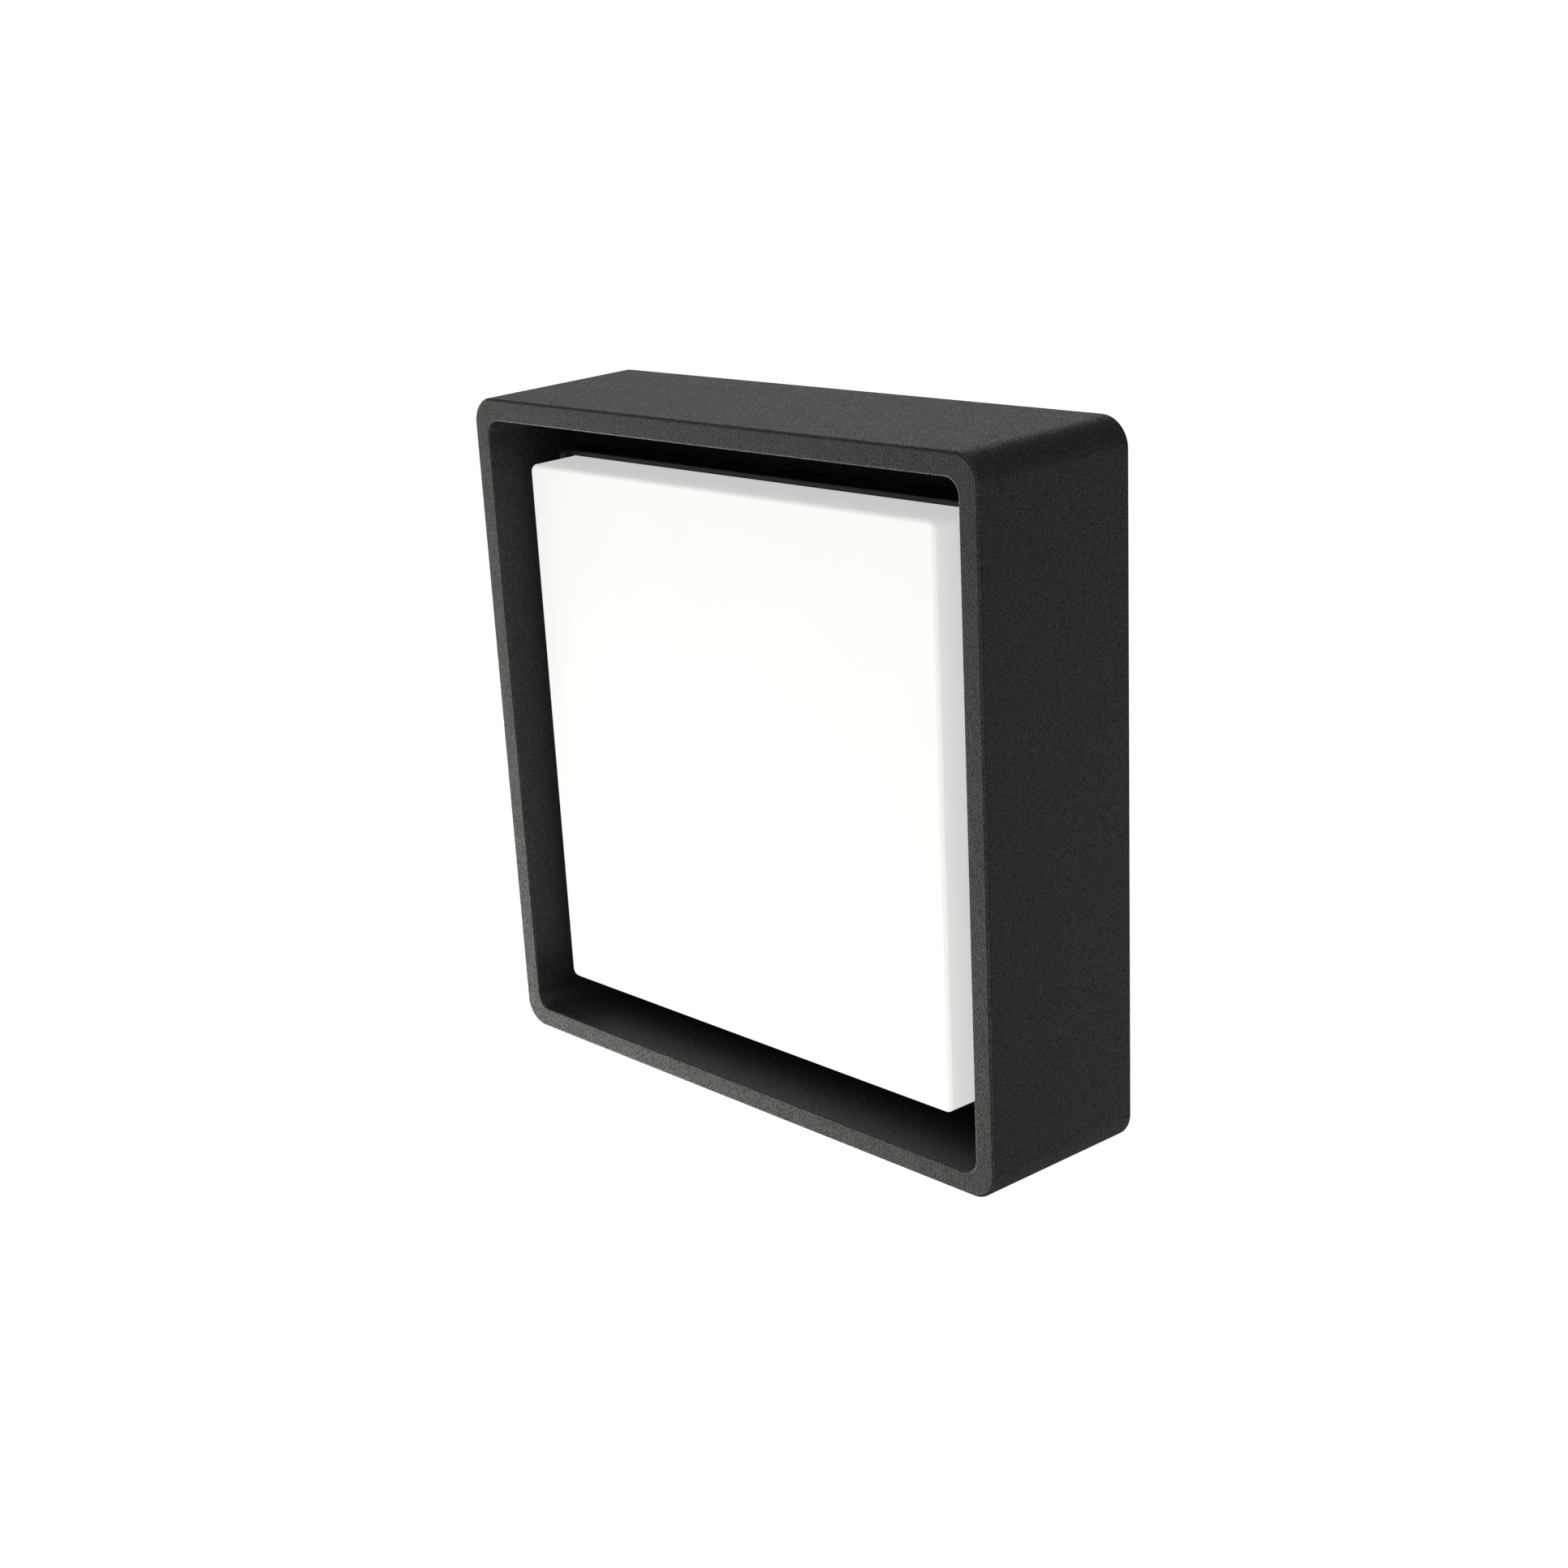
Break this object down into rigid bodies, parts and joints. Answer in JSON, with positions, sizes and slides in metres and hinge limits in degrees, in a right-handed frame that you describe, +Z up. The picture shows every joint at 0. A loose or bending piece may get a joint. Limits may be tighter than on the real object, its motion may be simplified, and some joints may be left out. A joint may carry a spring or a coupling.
{
  "type": "outdoor wall lantern",
  "caption": "Square outdoor wall lantern: a drafted cast frame round a recessed opal cover, on a wall base with a plug-in LED unit, driver and push-in terminals.",
  "frame": {"origin": "centre of the four wall slots, in the wall plane at the back of the base", "axes": "+Z up, +X right seen from the front, +Y into the wall; the light faces -Y"},
  "size_m": [0.25, 0.0692, 0.25],
  "materials": {
    "frame_paint": "cast, with a fine-textured graphite powder coat",
    "base_paint": "cast, with a fine-textured graphite powder coat",
    "tray_paint": "satin dark grey coat",
    "opal_cover": "opal, satin",
    "seal_rubber": "matt black",
    "gasket_foam": "matt grey-black",
    "screw_steel": "zinc plated",
    "frame_screw_black": "blackened",
    "clip_steel": "bright spring steel",
    "contact_brass": "bright",
    "block_plastic": "light grey",
    "button_green": "plain",
    "button_blue": "plain",
    "button_grey": "plain",
    "connector_plastic": "white",
    "clamp_plastic": "black",
    "lead_brown": "insulation",
    "lead_blue": "insulation",
    "lead_green_yellow": "two-colour insulation",
    "lead_white": "insulation",
    "pad_grey": "soft",
    "led_board_white": "white solder mask",
    "led_phosphor": "phosphor",
    "reflector_white": "diffuse white",
    "driver_plastic": "white-grey",
    "board_green": "solder mask",
    "winding_copper": "enamelled wire",
    "capacitor_sleeve": "sleeve",
    "choke_ferrite": "coated ring"
  },
  "bodies": {
    "wall_base": {"outer_frame": "frame_paint", "base_housing": "base_paint", "wall_gasket": "gasket_foam", "frame_screws": "frame_screw_black", "wall_screw_seals": "seal_rubber", "cable_grommet": "seal_rubber", "blanking_plug": "seal_rubber", "cord_clamp": "clamp_plastic", "cord_clamp_screws": "screw_steel", "terminal_block": "block_plastic", "terminal_clamps": "contact_brass", "terminal_block_screws": "screw_steel", "earth_tag": "contact_brass", "earth_screw": "screw_steel", "earth_bond_lead": "lead_green_yellow", "live_lead": "lead_brown", "neutral_lead": "lead_blue", "earth_lead": "lead_green_yellow", "socket_connector": "connector_plastic", "socket_contacts": "contact_brass", "socket_screws": "screw_steel"},
    "light_unit": {"light_tray": "tray_paint", "tray_seal": "seal_rubber", "thermal_pad": "pad_grey", "led_board": "led_board_white", "led_chips": "led_phosphor", "led_board_screws": "screw_steel", "led_connector": "connector_plastic", "reflector_sheet": "reflector_white", "diffuser": "opal_cover", "diffuser_seal": "seal_rubber", "diffuser_screws": "screw_steel", "driver_case": "driver_plastic", "driver_lid": "driver_plastic", "driver_board": "board_green", "driver_transformer": "winding_copper", "driver_capacitors": "capacitor_sleeve", "driver_choke": "choke_ferrite", "driver_screws": "screw_steel", "plug_connector": "connector_plastic", "plug_pins": "contact_brass", "plug_screws": "screw_steel", "driver_live_lead": "lead_brown", "driver_neutral_lead": "lead_blue", "tray_earth_lead": "lead_green_yellow", "tray_earth_tag": "contact_brass", "tray_earth_screw": "screw_steel", "led_leads": "lead_white", "lead_grommet": "seal_rubber", "spring_clips": "clip_steel", "clip_screws": "screw_steel"},
    "earth_release": {"earth_button": "button_green"},
    "neutral_release": {"neutral_button": "button_blue"},
    "live_release": {"live_button": "button_grey"}
  },
  "joints": [
    {"name": "light_unit_pull", "type": "slide", "parent": "wall_base", "child": "light_unit", "axis": [0, -1, 0], "range_m": [0, 0.075]},
    {"name": "earth_button_press", "type": "slide", "parent": "wall_base", "child": "earth_release", "axis": [0, 1, 0], "range_m": [0, 0.0015], "stiffness_N_per_m": 2000, "springref_m": -0.0005},
    {"name": "neutral_button_press", "type": "slide", "parent": "wall_base", "child": "neutral_release", "axis": [0, 1, 0], "range_m": [0, 0.0015], "stiffness_N_per_m": 2000, "springref_m": -0.0005},
    {"name": "live_button_press", "type": "slide", "parent": "wall_base", "child": "live_release", "axis": [0, 1, 0], "range_m": [0, 0.0015], "stiffness_N_per_m": 2000, "springref_m": -0.0005}
  ]
}
